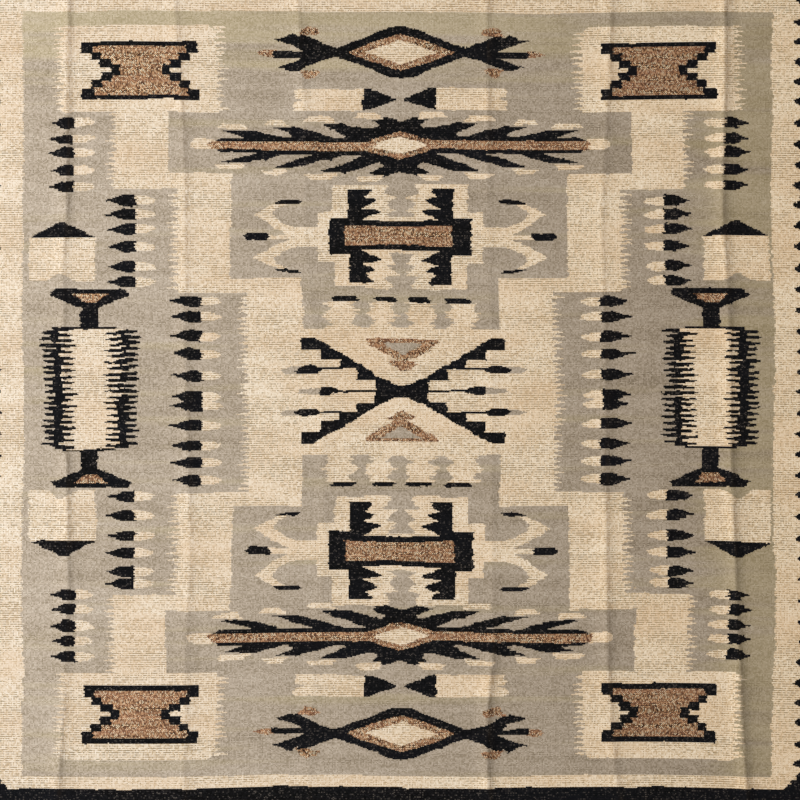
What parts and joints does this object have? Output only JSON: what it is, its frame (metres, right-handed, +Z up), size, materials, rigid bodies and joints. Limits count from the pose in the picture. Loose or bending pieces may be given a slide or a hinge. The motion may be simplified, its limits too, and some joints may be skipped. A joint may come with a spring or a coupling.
{
  "type": "tapestry-woven wool rug",
  "caption": "Flat wool rug in a weft-faced tapestry weave with a traditional storm pattern, lying flat with soft fold ridges across it.",
  "frame": {"origin": "centre of the underside, at floor level", "axes": "+Z up out of the rug's upper face, +X across the warps along its slightly longer way, +Y along the warps towards the picture's top edge"},
  "size_m": [1.2032, 1.1921, 0.007],
  "materials": {
    "woven_wool": "matte hand-spun wool, weft-faced weave in cream, grey, black and brown"
  },
  "bodies": {
    "root": {"rug": "woven_wool"}
  },
  "joints": []
}
